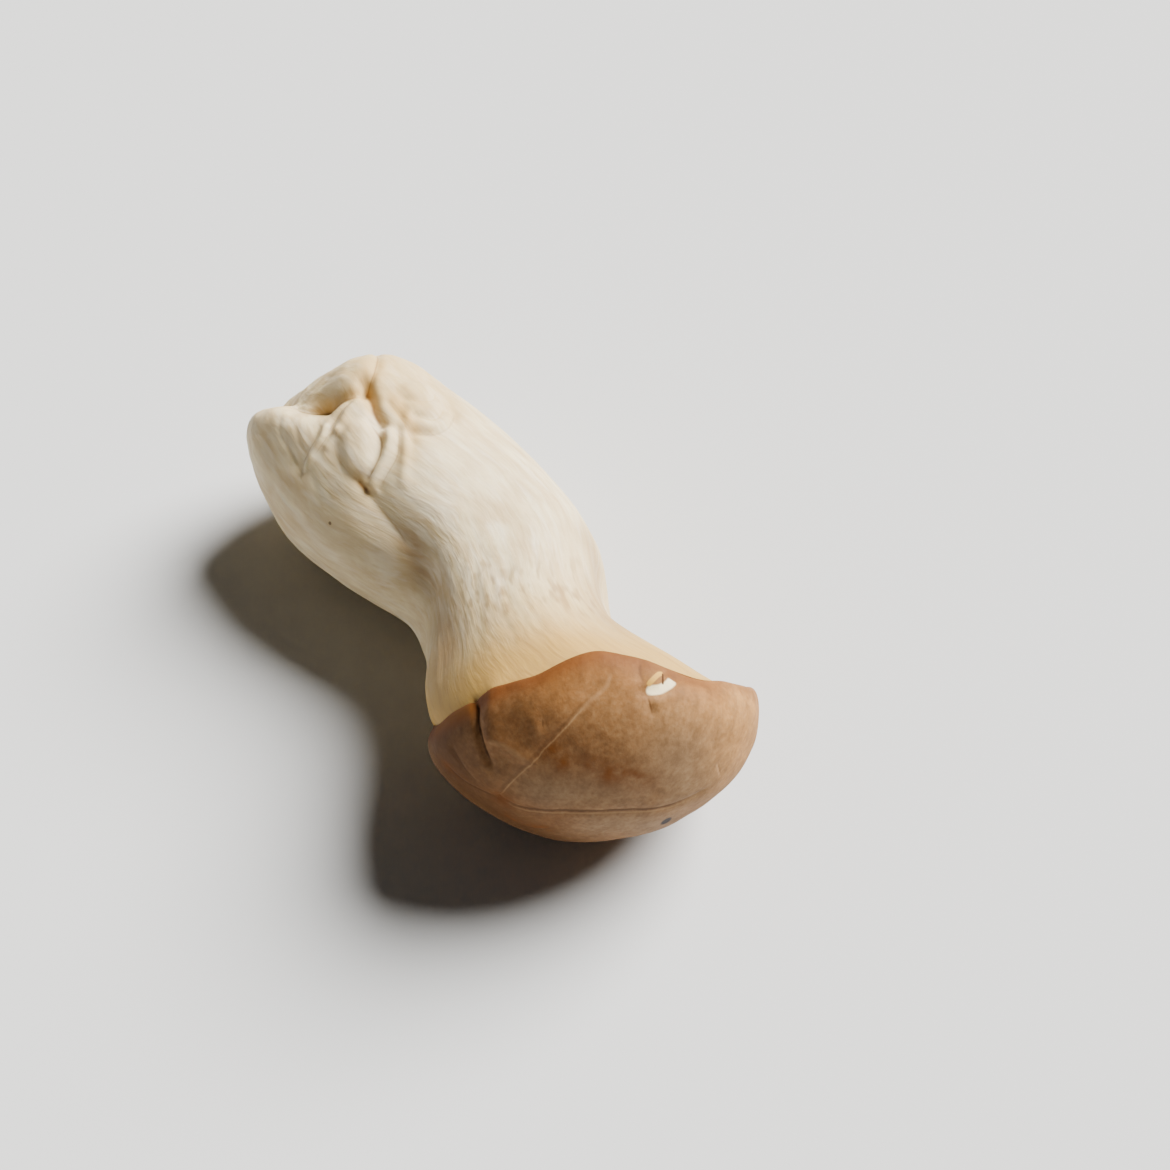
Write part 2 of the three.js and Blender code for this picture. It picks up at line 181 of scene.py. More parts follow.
# Lobes stand out and creases go in: height, half width, steepness, half width of the line drawn
# at the bottom or 0, and the places the fold runs through. Each fades with the distance from
# its line; a steepness over 2 gives a flat top, under 2 a sharp one.
FOLDS = {
    "top lobe": (2.6, 7.5, 2, 0, ((2, 40), (2.3, 58), (2.7, 74))),
    "top shoulder": (-2.6, 6, 2, 0, ((1.2, 114), (1.6, 107), (2.2, 102))),
    "nose": (1.0, 6, 2, 0, ((1.8, 160), (2.3, 150), (2.8, 141))),
    "valley": (-3.6, 4, 2, 0, ((1.2, 140), (1.7, 128), (2.2, 120), (2.7, 115), (3.2, 109))),
    "valley floor": (-1.7, 1.5, 1.6, 0.5, ((2.45, 124), (2.85, 119), (3.3, 104), (3.6, 90))),
    "pit": (-1.9, 1.3, 1.8, 0.9, ((3.4, 85), (3.8, 88), (4.1, 92), (4.4, 95))),
    "seam over the top": (-0.8, 0.9, 1.4, 0.3, ((2, 58), (2.6, 66), (3.2, 76), (3.5, 84), (3.55, 88))),
    "flap": (1.1, 4.4, 5, 0, ((4.2, 66), (4.5, 70), (4.75, 73))),
    "flap edge": (-0.75, 1.0, 1.5, 0.4, ((4.85, 88), (5.05, 80), (5.05, 72), (4.9, 64), (4.7, 57))),
    "fold across the flap": (-0.75, 1.0, 1.6, 0.35, ((4.6, 80), (4.8, 76), (4.8, 70), (4.6, 62))),
    "second fold across it": (-0.6, 1.1, 1.6, 0.3, ((4.2, 76), (4.4, 71), (4.4, 64), (4.2, 58))),
    "wrinkle by the pit": (-0.4, 0.7, 1.6, 0.25, ((4.1, 84), (4.4, 85), (4.7, 88), (5, 92))),
    "wrinkle on the nose": (-0.3, 0.8, 1.6, 0, ((2.9, 131), (3.2, 136), (3.6, 138), (4, 142))),
    "second wrinkle on the nose": (-0.25, 0.7, 1.6, 0, ((3.4, 128), (3.7, 131), (4.1, 136), (4.4, 142))),
    "round lobe": (1.1, 3.3, 4, 0, ((4.3, 108), (4.5, 113), (4.65, 117))),
    "crease right of it": (-0.9, 0.8, 1.5, 0.45, (
        (4.25, 98), (4.6, 101), (4.8, 107), (4.9, 114), (4.95, 121))),
    "crease left of it": (-0.25, 0.8, 1.5, 0.25, ((4, 110), (4.15, 118), (4.4, 123), (4.85, 125))),
    "bridge": (0.8, 1.0, 2, 0, ((3.75, 95), (3.8, 101), (4, 112))),
    "crease by the bridge": (-0.6, 0.7, 1.5, 0.25, ((3.65, 98), (3.7, 104), (3.9, 116))),
    "strand": (0.9, 1.0, 2, 0, ((4.6, 96), (4.75, 100), (4.95, 113), (5.05, 122))),
    "crease by the strand": (-0.55, 0.8, 1.5, 0.3, ((4.65, 91), (4.9, 98), (5.05, 104), (5.2, 121))),
    "light ridge": (0.5, 1.1, 2, 0, ((4.5, 82), (4.9, 94), (5.2, 102), (5.45, 111))),
    "first small fold": (0.9, 0.9, 2, 0, ((3.8, 115), (3.95, 122), (4.05, 136))),
    "crease before it": (-0.3, 0.8, 1.5, 0.25, ((3.7, 118), (3.85, 125), (3.95, 138))),
    "second small fold": (0.5, 0.7, 2, 0, ((4, 112), (4.05, 117), (4.1, 122))),
    "crease between them": (-0.4, 0.6, 1.5, 0.2, ((3.9, 114), (4, 121), (4.05, 129))),
    "small pit": (-0.4, 1.1, 1.8, 1.0, ((4.85, 125), (4.95, 126), (5.1, 127))),
    "fold under the end": (-1.6, 2.6, 1.6, 0, ((1.1, 150), (0.7, 215), (1.5, 250), (2.4, 262))),
    "fold behind the end": (-1.2, 2.2, 1.6, 0, ((0.5, 100), (1.2, 20), (2.2, 5), (3.1, 12))),
    "start of the groove": (-0.4, 1.2, 1.6, 0.35, ((5.05, 127), (5.75, 133), (6.2, 138))),
    "long groove": (-1.2, 5, 2, 0, ((5.3, 128), (6, 134), (6.5, 140), (7.4, 151))),
    "hollow of the neck": (-0.8, 6, 2, 0, ((7.4, 151), (8.2, 151), (9.1, 147), (9.8, 145))),
    "dent beside the nose": (-0.7, 3.6, 2, 0, ((3, 141), (3.5, 140), (3.9, 141))),
    "bulge under the neck": (2.4, 7, 2, 0, ((7.7, 208), (8.6, 208), (9.3, 203))),
    "flat side of the base": (-0.8, 5, 2, 0, ((2.6, 187), (3.4, 194))),
    "corner of the neck": (-2.2, 5.5, 2, 0, ((8.3, 10), (8.9, 12), (9.5, 18))),
    "hollow above the rim": (-0.8, 5, 2, 0, ((9.0, 196), (10.2, 190), (11.4, 182))),
    "notch in the rim": (-1.0, 0.8, 1.6, 0.5, (
        (13.4, 137), (15.3, 136), (16.5, 138), (17.1, 141), (17.45, 143))),
    "pale fold by the notch": (0.5, 1.3, 2, 1.0, ((16.8, 135), (17.2, 130), (17.75, 125))),
    "rim behind the notch": (0.6, 2.4, 2, 0, ((13.4, 128), (15.4, 129), (16.6, 132))),
    "dimple": (-0.25, 0.6, 1.6, 0.25, ((16.75, 112), (17, 113))),
    "lobe by the dimple": (0.3, 1.6, 2, 0, ((16.75, 115), (17, 115))),
    "tear": (-0.5, 1.3, 2, 1.5, ((16.3, 75), (16.1, 70), (15.7, 66), (15.2, 64))),
    "flap of the tear": (0.35, 0.8, 2, 0.75, ((16.1, 74), (15.6, 71), (15.1, 68))),
    "slit of the tear": (-0.3, 0.5, 1.6, 0.4, ((15.15, 68), (15.8, 68))),
    "lip under the tear": (0.3, 0.8, 2, 0, ((16.6, 74), (16.6, 71), (16.4, 68), (16, 65))),
    "tick under the tear": (-0.35, 0.5, 1.5, 0.35, ((16.5, 74), (17, 73))),
    "fold beside the tear": (-0.35, 0.9, 1.5, 0.5, ((14.8, 75), (15.5, 76), (16, 75))),
    "crease under the crown": (-0.4, 0.8, 1.4, 0.6, (
        (18.3, 158), (18.85, 155), (19.2, 146), (19.5, 132), (19.8, 109), (19.9, 79), (19.8, 51),
        (19.5, 32), (18.75, 20))),
    "scratch": (-0.18, 0.6, 1.5, 0.32, (
        (16.7, 96), (17.1, 103), (17.6, 116), (17.9, 126), (18.15, 141), (18.3, 158))),
    "faint end of the scratch": (-0.1, 0.9, 1.5, 0.8, (
        (15.7, 86), (16.1, 87), (16.4, 90), (16.7, 96), (17.3, 108))),
    "skin left of the scratch": (0.25, 1.6, 2, 0, (
        (16.5, 99), (16.9, 108), (17.3, 118), (17.7, 134), (18, 152))),
    "lower left crease": (-0.4, 0.8, 1.5, 0.6, ((16.8, 168), (17.3, 168), (17.75, 165), (18.3, 160))),
    "second left crease": (-0.3, 0.8, 1.5, 0.35, ((16.4, 155), (17.2, 158), (17.6, 159))),
    "short crease": (-0.25, 0.7, 1.5, 0.35, ((19.05, 189), (19.5, 186), (19.85, 172))),
    "crease on the right": (-0.2, 0.6, 1.5, 0.3, ((18, 31), (18.1, 27), (18.2, 21))),
    "fold on the hidden side": (-1.4, 1.4, 1.6, 0.4, ((12.8, 322), (15.2, 322), (16.4, 320), (17.6, 315))),
    "hollow on the hidden side": (-1, 5, 2, 0, ((15.5, 345), (17, 342))),
}

# Soft patches of colour: how far they reach, and the lines they lie along.
PATCHES = {
    # Darker brown along the neck's hollow and under its far side: partly the flesh's own colour, partly
    # painted shade.
    "brown": ((6.0, ((6.3, 137), (7.0, 147), (7.9, 150), (9, 151), (10.2, 151))),
              (5.0, ((7.0, 330), (8.6, 335), (9.6, 330)))),
    # Painted shade along the right edge of the neck.
    "painted shade at the neck's edge": ((6.5, ((7.7, 26), (8.3, 20), (9.1, 30), (9.8, 40))),),
    "gold": ((3.0, ((3.0, 71), (3.5, 85), (3.9, 89))), (2.4, ((3.0, 114), (3.3, 104), (3.55, 92))),
             (2.2, ((4.85, 125), (5.1, 127))), (2.6, ((4.1, 80), (4.6, 85), (5, 92), (5.2, 102)))),
    # Paler streaks on the lit side of the long groove: partly the fibres' own colour, partly painted
    # light.
    "silky": ((7.0, ((5.6, 120), (6.4, 126), (7.2, 134), (8.0, 140))),),
    "cream": ((10.0, ((2.4, 66), (3.3, 74), (4.1, 70))), (8.0, ((3.4, 50), (4.4, 56)))),
    "flecked": ((11.0, ((8.9, 112), (9.2, 96), (9.3, 78), (9.2, 60))),),
    # Darker orange-brown near the notch and round the crown: partly the skin's own colour, partly painted
    # shade.
    "dusk tint and painted shade": ((8.0, ((15.0, 128), (16.7, 124))), (6.0, ((17.8, 112), (18.5, 97), (19.0, 73))),
             (5.0, ((18.4, 156), (19, 148), (19.6, 150)))),
    "lip": ((2.0, ((14.5, 163), (14.5, 152), (14.5, 141))),),
    # Darker skin on the cap's left and lower sides: partly its own colour, partly painted shade.
    "dark": ((12.0, ((14.2, 160), (16.0, 162), (17.4, 172))),
             (9.0, ((17.0, 173), (18.0, 177), (18.9, 187), (19.4, 221))),
             (14.0, ((15.0, 250), (17.0, 240)))),
    # Paler skin on the cap's right side, where the light falls: partly its own colour, partly painted
    # light.
    "fawn": ((17.0, ((14.8, 40), (16.2, 30), (17.6, 20))), (12.0, ((15.0, 320), (17.0, 330)))),
    "orange": ((6.5, ((15.4, 104), (15.2, 92), (15.3, 80))), (4.0, ((15.2, 62), (15.4, 48)))),
    "grey": ((6.0, ((18.8, 134), (19.0, 108), (19.3, 70))), (9.0, ((18.2, 58), (18.9, 38))),
             (7.0, ((20.5, 112), (20.4, 40), (20.1, 354)))),
    "stained": ((2.6, ((17.75, 114), (18.15, 110))), (2.4, ((18.35, 97), (18.65, 90))),
                (2.2, ((18.5, 84), (18.85, 72))), (2.2, ((18.35, 159), (18.7, 154))),
                (2.0, ((18.8, 178), (19.6, 179))),
                (1.8, ((16.75, 168), (17.4, 166)))),
}
# A small dark spot near the crown and a speck on the base: place, radius in mm and squeeze. Both
# are dark all through out to SPOT_CORE, as a share of the radius.
SPOT = (19.8, 354)
SPOT_SHAPE = (1.5, (1, 1, 0.55))
SPECK = (4.85, 152)
SPECK_SHAPE = (0.5, (1, 1, 1))
SPOT_CORE = 0.6


def srgb(colour):
    """The linear colour of an sRGB hex value."""
    channels = [int(colour[i:i + 2], 16) / 255 for i in (1, 3, 5)]
    return [c / 12.92 if c <= 0.04045 else ((c + 0.055) / 1.055) ** 2.4 for c in channels]


def pointing(yaw, pitch):
    """The way along, to the side and up of something that points by yaw and pitch in degrees."""
    turn = np.radians(yaw)
    tilt = np.radians(pitch)
    along = np.stack([np.cos(tilt) * np.cos(turn), np.cos(tilt) * np.sin(turn), np.sin(tilt)], -1)
    side = np.stack([-np.sin(turn), np.cos(turn), np.zeros_like(turn)], -1)
    return along, side, np.cross(along, side)


CAP_ALONG, CAP_SIDE, CAP_UP = pointing(np.float64(CAP_YAW), np.float64(CAP_PITCH))


def ring_table():
    """All rings in one table, with each end's neighbour mirrored past it so that the ends close round."""
    rows = [list(row) for row in STEM_RINGS]
    for along, aside, up, half_width, half_height in CAP_RINGS:
        centre = np.array(CAP_MIDDLE) + along * CAP_ALONG + aside * CAP_SIDE + up * CAP_UP
        rows.append([*centre, CAP_YAW, CAP_PITCH, half_width, half_height])
    rows = np.array(rows, float)
    mirror = np.array([1, 1, 1, 1, 1, -1, -1])
    return np.vstack([rows[1] * mirror, rows, rows[-2] * mirror])


def through(rows, start, share):
    """The smooth curve through four rows of a table, share of the way from the second to the third."""
    p0, p1, p2, p3 = (rows[start + k] for k in range(4))
    share = share[:, None]
    return 0.5 * (2 * p1 + (p2 - p0) * share + (2 * p0 - 5 * p1 + 4 * p2 - p3) * share**2
                  + (3 * p1 - 3 * p2 + p3 - p0) * share**3)


RINGS = ring_table()


def ring_values(ring):
    start = np.clip(np.floor(ring).astype(int), 0, LAST_RING - 1)
    return through(RINGS, start, ring - start)


def rim_setback(ring, degrees):
    """How far the rim stands back toward the crown at these places, with its small waves."""
    turn = np.mod(degrees, 360) / 360 * len(RIM_SETBACK)
    start = np.floor(turn).astype(int)
    around = np.take(RIM_SETBACK, np.arange(-1, len(RIM_SETBACK) + 2), mode="wrap")[:, None]
    back = through(around, start, turn - start)[:, 0]
    for count, reach, phase in RIM_WAVES:
        back += reach * np.sin(count * np.radians(degrees) + phase)
    first = len(STEM_RINGS)
    places = np.arange(first - 1, first + len(RIM_SHARE) + 1)
    return back * np.interp(ring, places, (0, *RIM_SHARE, 0))


def plain_points(ring, degrees):
    """Points of the body before any relief, in millimetres."""
    ring, degrees = (np.asarray(value, float) for value in (ring, degrees))
    row = ring_values(ring)
    _, side, up = pointing(row[:, 3], row[:, 4])
    angle = np.radians(degrees)
    oval = (row[:, 5] * np.cos(angle))[:, None] * side + (row[:, 6] * np.sin(angle))[:, None] * up
    return row[:, :3] + oval + rim_setback(ring, degrees)[:, None] * CAP_ALONG


def fold_line(places, steps=8):
    """A smooth line on the body through these places."""
    points = plain_points(*np.array(places, float).T)
    rows = np.vstack([2 * points[0] - points[1], points, 2 * points[-1] - points[-2]])
    at = np.linspace(0, len(points) - 1, (len(points) - 1) * steps + 1)
    start = np.clip(np.floor(at).astype(int), 0, len(points) - 2)
    return through(rows, start, at - start)


def in_reach(points, line, reach):
    """The numbers of the points that lie in the line's box or within reach of it."""
    inside = (points > line.min(0) - reach) & (points < line.max(0) + reach)
    return np.flatnonzero(np.all(inside, axis=1))


def distance_to(line, points, reach):
    """How far each point is from the line, or a great way for points out of reach."""
    distance = np.full(len(points), FAR)
    near = in_reach(points, line, reach)
    close = points[near]
    best = np.full(len(close), FAR)
    for start, end in zip(line, line[1:]):
        step = end - start
        share = np.clip((close - start) @ step / (step @ step), 0, 1)
        best = np.minimum(best, np.linalg.norm(close - start - share[:, None] * step, axis=1))
    distance[near] = best
    return distance


def faded(distance, half, steep):
    """1 on a line, about a third at half its width, and nothing far from it."""
    return np.exp(-((distance / half) ** steep))


def smoothstep(value, low, high):
    share = np.clip((value - low) / (high - low), 0, 1)
    return share * share * (3 - 2 * share)


def noise_of(name, points):
    """The noise of one kind of fine relief at these points, to both sides of 0."""
    height = 0
    for size, seed, weight in FINE_RELIEF[name]:
        offset = Vector([seed * step for step in SEED_STEP])
        height += weight * np.array([noise.noise(Vector(point) + offset) for point in points / size])
    return height


def amount(name, description, default, **kind):
    return bpy.props.FloatProperty(name=name, description=description, default=default, **kind)


def tint(name, description, hex_value):
    return bpy.props.FloatVectorProperty(
        name=name, description=description, default=srgb(hex_value), subtype="COLOR", min=0, max=1)


class ShapeSettings(bpy.types.PropertyGroup):
    gills: bpy.props.IntProperty(
        name="Gills", description="Gills that reach the rim", default=144, min=24, max=200)
    gill_depth: amount(
        "Gill depth", "Depth of the gills on the side that faces the ground", 1.5 * MM, unit="LENGTH")
    fold_strength: amount(
        "Fold strength", "How deep the folds and creases go", 1.0, subtype="FACTOR", min=0, max=1.5)
    crumple: amount(
        "Crumple", "Height of the fine crumpling of the gathered base", 0.24 * MM, unit="LENGTH")
    fibres: amount("Fibres", "Height of the long fibres of the stem", 0.06 * MM, unit="LENGTH")
    ripple: amount(
        "Ripple", "Height of the soft uneven swellings of the stem", 0.16 * MM, unit="LENGTH")
    lumps: amount("Lumps", "Height of the slow lumps of the cap", 0.35 * MM, unit="LENGTH")


class FinishSettings(bpy.types.PropertyGroup):
    flesh: tint("Flesh", "Fresh flesh of the stem", "#e9d6a9")
    flesh_silk: tint("Silky flesh", "Pale fibres that catch the light", "#f3e6c8")
    flesh_warm: tint("Warm flesh", "Flesh near the cap", "#bf9750")
    flesh_streak: tint("Streaks", "Darker fibres of the stem", "#c2a273")
    # Brown flesh also carries painted shade in the neck's hollow and on its right edge.
    flesh_brown: tint("Brown flesh", "Flesh of the hollows of the neck", "#8e6a40")
    flesh_gold: tint("Golden flesh", "Flesh round the folds of the base", "#c29442")
    crease: tint("Crease", "Bruised flesh at the bottom of a fold", "#875a20")
    gill: tint("Gill", "Sides of the gills", "#c4a670")
    skin: tint("Skin", "Middle colour of the cap's skin", "#8a613a")
    skin_pale: tint("Pale skin", "Paler skin of the cap's lit side, partly painted light", "#b4824a")
    skin_dark: tint("Dark skin", "Skin where it is thick and shaded", "#4a2c12")
    skin_bloom: tint("Bloom", "Fine dry specks on the skin", "#b89468")
    skin_worn: tint("Worn skin", "Skin worn pale along a crease", "#c49a6c")
    skin_grey: tint("Grey skin", "Bleached skin near the crown", "#9c8263")
    skin_orange: tint("Orange skin", "Skin behind the rim", "#865420")
    skin_edge: tint("Skin edge", "Rolled edge of the skin", "#693812")
    stain: tint("Stain", "Orange stains of the skin", "#74400f")
    spot: tint("Spot", "Small dark spot of the skin", "#1f1b22")


class StudioSettings(bpy.types.PropertyGroup):
    azimuth: amount("Azimuth", "Way the camera looks", math.radians(60), subtype="ANGLE")
    elevation: amount(
        "Elevation", "Height of the camera over the horizon", math.radians(55), subtype="ANGLE")
    distance: amount("Distance", "Distance from the camera to its target", 0.56, unit="LENGTH")
    lens: amount("Lens", "Focal length", 80, unit="CAMERA")
    target: bpy.props.FloatVectorProperty(
        name="Target", description="What the camera looks at", default=(0.0069, 0.0181, 0.0230),
        unit="LENGTH")
    key: amount("Key light", "Strength of the main light", 14, min=0)
    softness: amount(
        "Softness", "How wide the main light is, seen from the mushroom", math.radians(40),
        subtype="ANGLE")
    air: amount("Air", "Strength of the light from all round", 0.06, min=0)
    floor: tint("Floor", "Colour of the floor", "#cfcecb")


def deselect_all():
    if bpy.context.object and bpy.context.object.mode != "OBJECT":
        bpy.ops.object.mode_set(mode="OBJECT")
    bpy.ops.object.select_all(action="DESELECT")


def cage_rings():
    rings = [first + (last - first) * i / count
             for first, last, count in CAGE_SPANS for i in range(count)]
    return np.array(rings[1:])


def lay_ring(ring):
    """Adds the oval of one ring, with its first corner on top."""
    row = ring_values(np.array([ring]))[0]
    along, side, up = pointing(row[3], row[4])
    turned = Matrix((side, up, along)).transposed()
    centre = row[:3] * MM
    bpy.ops.mesh.primitive_circle_add(
        vertices=CORNERS, radius=1, fill_type="NOTHING", enter_editmode=True,
        location=centre, rotation=turned.to_euler())
    bpy.ops.transform.resize(
        value=(row[5] * MM, row[6] * MM, 1), orient_type="GLOBAL", orient_matrix=turned,
        orient_matrix_type="GLOBAL", center_override=centre)


def select_ring(mesh, number):
    """Adds one ring of the cage to the selection."""
    cage = bmesh.from_edit_mesh(mesh)
    cage.verts.ensure_lookup_table()
    corners = set(cage.verts[number * CORNERS:(number + 1) * CORNERS])
    for corner in corners:
        for edge in corner.link_edges:
            if edge.other_vert(corner) in corners:
                edge.select_set(True)
    bmesh.update_edit_mesh(mesh)


def close_end(mesh, number, ring):
    """Draws one end ring together in the point where the body ends."""
    bpy.ops.mesh.select_all(action="DESELECT")
    select_ring(mesh, number)
    end = plain_points([ring], [0])[0] * MM
    cage = bmesh.from_edit_mesh(mesh)
    chosen = [corner.co for corner in cage.verts if corner.select]
    middle = sum(chosen, Vector()) / len(chosen)
    bpy.ops.mesh.extrude_region_move(
        TRANSFORM_OT_translate={"value": Vector(end) - middle})
    bpy.ops.mesh.merge(type="CENTER")


def lay_cage():
    """Lofts the cage: one oval for each ring, bridged to the one before, with its ends drawn in."""
    rings = cage_rings()
    deselect_all()
    lay_ring(rings[0])
    body = bpy.context.object
    body.name = body.data.name = PIECE
    bpy.ops.object.mode_set(mode="OBJECT")
    bpy.ops.object.transform_apply(location=True, rotation=True, scale=True)
    bpy.ops.object.mode_set(mode="EDIT")
    bpy.ops.mesh.select_mode(type="EDGE")
    for number, ring in enumerate(rings[1:], 1):
        lay_ring(ring)
        select_ring(body.data, number - 1)
        bpy.ops.mesh.bridge_edge_loops()
    close_end(body.data, 0, 0)
    close_end(body.data, len(rings) - 1, LAST_RING)
    bpy.ops.mesh.select_all(action="SELECT")
    bpy.ops.mesh.normals_make_consistent(inside=False)
    bpy.ops.object.mode_set(mode="OBJECT")
    return body


def read(items, field, size=1, kind=float):
    """One field of all these items, with a row for each item where it has several numbers."""
    values = np.zeros(len(items) * size, kind)
    items.foreach_get(field, values)
    return values.reshape(-1, size) if size > 1 else values


def write(mesh, name, values):
    """Stores one number or one vector for each vertex."""
    several = values.ndim == 2
    kind = "FLOAT_VECTOR" if several else "FLOAT"
    attribute = mesh.attributes.new(name, kind, "POINT")
    attribute.data.foreach_set("vector" if several else "value", values.ravel())


def places_on(mesh):
    """The ring and the degrees of every vertex."""
    ring, sine, cosine = (read(mesh.attributes[name].data, "value") for name in ("ring", "sine", "cosine"))
    return ring, np.degrees(np.arctan2(sine, cosine))


def points_of(mesh):
    return read(mesh.vertices, "co", 3) / MM


def outward_of(mesh):
    """The way out of the body at every vertex."""
    return read(mesh.vertex_normals, "vector", 3)


def move_to(mesh, points):
    mesh.vertices.foreach_set("co", (points * MM).ravel())
    mesh.update()


def mark_places(mesh):
    """Stores on the cage where each corner lies, so that the smoothed body still knows it."""
    rings = cage_rings()
    ring = np.repeat(rings, CORNERS)
    points = points_of(mesh)
    row = ring_values(ring)
    _, side, up = pointing(row[:, 3], row[:, 4])
    out = points[:len(ring)] - row[:, :3]
    cosine = np.einsum("ij,ij->i", out, side) / row[:, 5]
    sine = np.einsum("ij,ij->i", out, up) / row[:, 6]
    ends = [0, LAST_RING]
    write(mesh, "ring", np.append(ring, ends))
    write(mesh, "cosine", np.append(cosine, [1, 1]))
    write(mesh, "sine", np.append(sine, [0, 0]))


def smooth_cage(body):
    """Sets the rim back on the cage, then smooths the cage twice over."""
    mesh = body.data
    mark_places(mesh)
    ring, degrees = places_on(mesh)
    move_to(mesh, points_of(mesh) + rim_setback(ring, degrees)[:, None] * CAP_ALONG)
    smoothing = body.modifiers.new("Smoothing", "SUBSURF")
    smoothing.levels = smoothing.render_levels = SMOOTHING
    bpy.ops.object.modifier_apply(modifier=smoothing.name)


def cut_gill_zone(body):
    """Splits the edges that run round the gills, so that each gill gets corners of its own."""
    bpy.ops.object.mode_set(mode="EDIT")
    bpy.ops.mesh.select_all(action="DESELECT")
    cage = bmesh.from_edit_mesh(body.data)
    ring = cage.verts.layers.float["ring"]
    low, high = GILL_ZONE
    same = 1e-3
    for edge in cage.edges:
        first, second = (corner[ring] for corner in edge.verts)
        edge.select_set(low < first < high and abs(first - second) < same)
    bmesh.update_edit_mesh(body.data)
    bpy.ops.mesh.subdivide(number_cuts=GILL_CUTS)
    bpy.ops.object.mode_set(mode="OBJECT")


def length_along(ring):
    """Millimetres along the skin from the base's end, a mean round the ring."""
    steps_per_ring = 40
    steps = np.linspace(0, LAST_RING, steps_per_ring * LAST_RING + 1)
    path = np.zeros(len(steps))
    sides = range(0, 360, 45)
    for degrees in sides:
        points = plain_points(steps, np.full(len(steps), float(degrees)))
        path[1:] += np.cumsum(np.linalg.norm(np.diff(points, axis=0), axis=1)) / len(sides)
    return np.interp(ring, steps, path)


def grain_of(ring, degrees):
    """Places on a straightened body, in millimetres: patterns laid on it follow the bent one."""
    angle = np.radians(degrees)
    along = length_along(ring)
    from_end = np.minimum(along, length_along(LAST_RING) - along)
    radius = GRAIN_RADIUS * np.tanh(from_end / GRAIN_RADIUS)
    return np.stack([radius * np.cos(angle), radius * np.sin(angle), along], -1)


def fold_relief(points, strength):
    """Height of all folds at these points."""
    height = np.zeros(len(points))
    for tall, half, steep, _, line in FOLDS.values():
        distance = distance_to(fold_line(line), points, FOLD_REACH * half)
        height += strength * tall * faded(distance, half, steep)
    return height


def line_field(points, outward, line, reach=7.0, taper=0.15, edge=2.0):
    """For each point its distance from a line, negative on one side of it, and how strong the line
    is there: 1 near it, fading to 0 at its two ends and over the edge of its reach."""
    best = np.full(len(points), FAR)
    signed = np.full(len(points), reach)
    share_along = np.zeros(len(points))
    near = in_reach(points, line, reach)
    close, out = points[near], outward[near]
    last = len(line) - 2
    for number, (start, end) in enumerate(zip(line, line[1:])):
        step = end - start
        free = (close - start) @ step / (step @ step)
        share = np.clip(free, 0, 1)
        off = close - start - share[:, None] * step
        distance = np.linalg.norm(off, axis=1)
        side = np.sign(np.einsum("ij,ij->i", np.cross(step, out), off))
        closer = distance < best[near]
        chosen = near[closer]
        best[chosen] = distance[closer]
        signed[chosen] = (distance * side)[closer]
        along = free if number in (0, last) else share
        share_along[chosen] = (number + along[closer]) / (last + 1)
    strength = smoothstep(share_along, 0, taper) * (1 - smoothstep(share_along, 1 - taper, 1))
    strength *= 1 - smoothstep(best, reach - edge, reach)
    return np.stack([signed, strength, np.zeros(len(points))], -1)


def patch(points, lines):
    """How deep in a patch each point lies, from 0 to 1."""
    inside = np.zeros(len(points))
    for reach, line in lines:
        distance = distance_to(fold_line(line), points, PATCH_REACH * reach)
        inside = np.maximum(inside, faded(distance, reach, 2))
    return inside


def gill_relief(ring, angle, shape):
    """Long gills run down the neck, and a short one stands between each two near the rim: their
    relief, and how deep between them each place lies, from 0 to 1."""
    below = smoothstep(-np.cos(angle - np.radians(GILL_TOP)), *GILL_SIDES)
    depth = shape.gill_depth * below
    wave = sum(reach * np.sin(count * angle + phase) for count, reach, phase in GILL_WAVES)
    down = smoothstep(ring + wave, *LONG_GILLS)
    between = smoothstep(ring + 0.5 * wave, *SHORT_GILLS)
    rim = 1 - smoothstep(ring, *GILL_END)
    short = 0.5 - 0.5 * np.cos(shape.gills * angle)
    long = 0.5 - 0.5 * np.cos(shape.gills / 2 * angle)
    valley = long * (1 - between) + short * between
    return -depth / MM * down * rim * valley, valley * down * rim * below


def fine_relief(ring, angle, points, grain, shape):
    """Height of the swellings, the crumpling, the fibres and the lumps at these places."""
    fade = np.sin(np.pi * ring / LAST_RING)
    waves = sum(np.sin(around * angle + shift * ring) for around, shift in SWELLS)
    swell = SWELL_HEIGHT * fade * waves
    base = 1 - smoothstep(ring, *CRUMPLED_END)
    top = smoothstep(np.sin(angle), *CRUMPLED_TOP)
    crumple = shape.crumple / MM * base * (CRUMPLED_BELOW + (1 - CRUMPLED_BELOW) * top)
    stem = 1 - smoothstep(ring, *STEM_END)
    ripple = noise_of("ripple", grain)
    ripple += patch(points, PATCHES["flecked"]) * noise_of("flecks", grain)
    stringy = shape.fibres * noise_of("fibres", grain) + shape.ripple * ripple
    cap = shape.lumps / MM * smoothstep(ring, *CAP_START)
    return (swell + crumple * noise_of("crumple", grain) + stem * stringy / MM
            + cap * noise_of("lumps", points))


def rested(points):
    """Sinks the body into the ground as the CAD solid is, and sets it in the middle of its box."""
    points[:, 2] = np.maximum(points[:, 2] - REST_FLAT, 0)
    middle = (points.min(0) + points.max(0)) / 2
    cad_middle = (CAD_LOW + CAD_HIGH) / (2 * MM)
    points[:, 0] += cad_middle.x - middle[0]
    points[:, 1] += cad_middle.y - middle[1]
    return points


